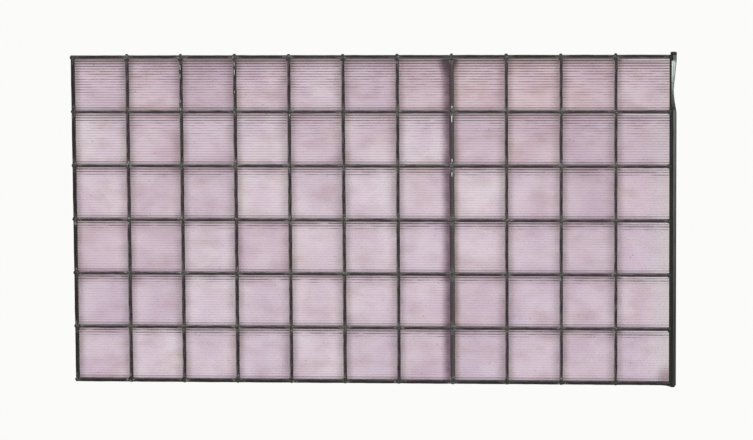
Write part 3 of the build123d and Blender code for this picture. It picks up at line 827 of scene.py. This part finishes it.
add_piece("bright_solder_runs", loops, None, bright_solder, smooth_below=60)

# Edge nubs: where each inner came meets a border, the solder runs round the outer edge and stands
# out as a small rough knob.
knob_columns = column_line(np.arange(1, tile_columns))
knob_rows = row_line(np.arange(tile_rows + 1))
knob_sink = 0.1
knob_places = np.array([(x, 0.0, panel_height - knob_sink) for x in knob_columns]
                       + [(x, 0.0, knob_sink) for x in knob_columns]
                       + [(column_line(0) - border_reach + knob_sink, 0.0, z) for z in knob_rows])
knob_out = [[0, 0, 1]] * len(knob_columns) + [[0, 0, -1]] * len(knob_columns) + [[-1, 0, 0]] * len(knob_rows)
# They stand out furthest over the top edge, and least under the bottom one.
knob_height = np.array([3.5] * len(knob_columns) + [1.8] * len(knob_columns) + [2.9] * len(knob_rows))
knob_height *= rng.uniform(0.75, 1.0, len(knob_height))
knob_radius = 3.8 * rng.uniform(0.8, 1.0, len(knob_height))
# The one over the seventh upright is narrow and pointed.
knob_height[barred_upright - 1] = 3.3
knob_radius[barred_upright - 1] = 2.8
corners, faces = lumps(knob_places, knob_out, knob_radius, knob_height, 0.0, 0.12)
skin_object("aged_edge_nubs", corners, faces, "edge_solder_nubs", black_solder, None, 60)

# Corner solder: the open ends of the right border are plugged with a cap of solder at the top and
# a rounder drip at the bottom.
turns = np.linspace(0, 2 * math.pi, 48, endpoint=False)
climbs = np.linspace(0, 1, 12)


def corner_cap(left, right, height, power, end_power):
    """A rounded block standing on its foot: each level is a superellipse round the border's end,
    and its size falls towards the top as another superellipse. Returns loops from foot to top."""
    share = np.clip(1 - climbs ** end_power, 0, 1) ** (1 / end_power)
    share[-1] = 0.12
    half_x, half_y = (right - left) / 2, face_half - 0.5
    ring_x = np.sign(np.cos(turns)) * np.abs(np.cos(turns)) ** (2 / power)
    ring_y = np.sign(np.sin(turns)) * np.abs(np.sin(turns)) ** (2 / power)
    rough = 1 - 0.05 * np.abs(np.sin(3 * turns[None, :] + 7 * climbs[:, None]))
    x = (left + right) / 2 + half_x * share[:, None] * ring_x * rough
    y = half_y * share[:, None] * ring_y * rough
    return np.stack([x, y, np.broadcast_to(height * climbs[:, None], x.shape)], axis=-1)


top_cap = corner_cap(-1.0, right_reach + 0.6, 6.0, 5, 5)
top_cap += np.array([right_line, 0, panel_height])
add_piece("aged_top_corner_cap", [top_cap], "top_corner_solder", black_solder, smooth_below=60)
drip_x = np.array([-16.0, -15.6, -13, -10, -7, -4, -2, 0, 2, 4, 6, 7.5, 8.6, 9.3, 9.8, 10.0])
drip_height = np.array([0.1, 0.5, 0.8, 1.1, 1.5, 2.2, 2.9, 3.6, 4.2, 4.5, 4.5, 4.2, 3.5, 2.6, 1.6, 0.4])
drip_turns = np.linspace(0, math.pi, 16)
drip_y = np.broadcast_to((face_half - 0.6) * np.cos(drip_turns), (len(drip_x), 16))
drip_z = -drip_height[:, None] * np.sin(drip_turns)[None, :] ** 0.7
lower = np.stack([np.broadcast_to(drip_x[:, None], drip_y.shape), drip_y, drip_z], axis=-1)
upper = lower * np.array([1, 1, 0]) + np.array([0, 0, 0.05])
drip = np.concatenate([lower, upper[:, ::-1]], axis=1) + np.array([right_line, 0, 0])
add_piece("aged_bottom_corner_drip", [drip], "bottom_corner_solder", black_solder, smooth_below=60)

# The studio: a plain pale floor below the hanging panel and a white surround that the glass shows.
floor_height = -0.6
floor_corners = [(-30, -30, floor_height), (30, -30, floor_height), (30, 30, floor_height),
                 (-30, 30, floor_height)]
floor_mesh = bpy.data.meshes.new("studio_floor")
floor_mesh.from_pydata(floor_corners, [], [(0, 1, 2, 3)])
floor = bpy.data.objects.new("studio_floor", floor_mesh)
bpy.context.collection.objects.link(floor)
room_grey = (0.8, 0.8, 0.8, 1)
studio_white = colour("#FBFBF9")
paint, paint_shader = finish("matt_white_floor", {"Base Color": room_grey, "Roughness": 0.9})
floor_mesh.materials.append(paint)

# Rays from the camera, from a glossy face or through the glass see the world and the far floor as
# plain white, and the floor near the panel keeps its shadow.
world = bpy.data.worlds.new("studio")
world.use_nodes = True
world.node_tree.nodes.clear()
bpy.context.scene.world = world
through = {}
seen = {}
for owner in (paint, world):
    ray = add(owner, "LightPath")
    through[owner] = ray.outputs["Is Transmission Ray"]
    eye = add(owner, "Math", {"operation": "MAXIMUM"}, {0: ray.outputs["Is Camera Ray"],
                                                        1: ray.outputs["Is Glossy Ray"]})
    seen[owner] = add(owner, "Math", {"operation": "MAXIMUM"}, {0: eye, 1: through[owner]})
place = add(paint, "TexCoord")
distance = add(paint, "VectorMath", {"operation": "LENGTH"}, {0: place.outputs["Object"]})
fade = add(paint, "MapRange", {**eased, "From Min": 1.1, "From Max": 2.2},
           {"Value": distance.outputs["Value"]})
share = add(paint, "Math", times, {0: fade, 1: seen[paint]})
share = add(paint, "Math", {"operation": "MAXIMUM"}, {0: share, 1: through[paint]})
glow = add(paint, "Emission", {"Color": studio_white})
both = add(paint, "MixShader", None, {0: share, 1: paint_shader, 2: glow})
wire(paint, paint.node_tree.nodes["Material Output"], {0: both})
room = add(world, "Background", {"Color": room_grey, "Strength": 0.7})
white = add(world, "Background", {"Color": studio_white, "Strength": 1.0})
both = add(world, "MixShader", None, {0: seen[world], 1: room, 2: white})
add(world, "OutputWorld", None, {0: both})

# Soft studio lamps: a large key up on the left and a weaker fill on the right, both turned to the
# panel's middle, and not seen through the glass.
panel_middle = Vector((0, 0, 0.3))
lamp_size = 2.0
for name, spot, power in (("key", (-2.5, -3.0, 3.0), 120), ("fill", (3.0, -2.5, 1.5), 60)):
    lamp = bpy.data.lights.new(name, "AREA")
    lamp.size = lamp_size
    lamp.energy = power
    stand = bpy.data.objects.new(name, lamp)
    bpy.context.collection.objects.link(stand)
    stand.location = spot
    stand.visible_transmission = False
    stand.rotation_euler = (panel_middle - Vector(spot)).to_track_quat("-Z", "Y").to_euler()

# The camera: a long lens a little above the middle and to the right, nearly level.
azimuth, elevation, roll = (math.radians(degrees) for degrees in (5.03, 6.475, -0.406))
aim = Vector((0.0107, 0, 0.3158))
camera_distance = 6.706
back = Vector((math.sin(azimuth) * math.cos(elevation), -math.cos(azimuth) * math.cos(elevation),
               math.sin(elevation)))
level = Vector((0, 0, 1)).cross(back).normalized()
upward = back.cross(level)
right = level * math.cos(roll) + upward * math.sin(roll)
up = upward * math.cos(roll) - level * math.sin(roll)
spot = aim + back * camera_distance
lens = bpy.data.cameras.new("camera")
lens.lens = 167.33
lens.sensor_width = 36
camera = bpy.data.objects.new("camera", lens)
bpy.context.collection.objects.link(camera)
camera.matrix_world = Matrix(((right.x, up.x, back.x, spot.x), (right.y, up.y, back.y, spot.y),
                              (right.z, up.z, back.z, spot.z), (0, 0, 0, 1)))
bpy.context.scene.camera = camera
bpy.context.scene.view_settings.view_transform = "Standard"
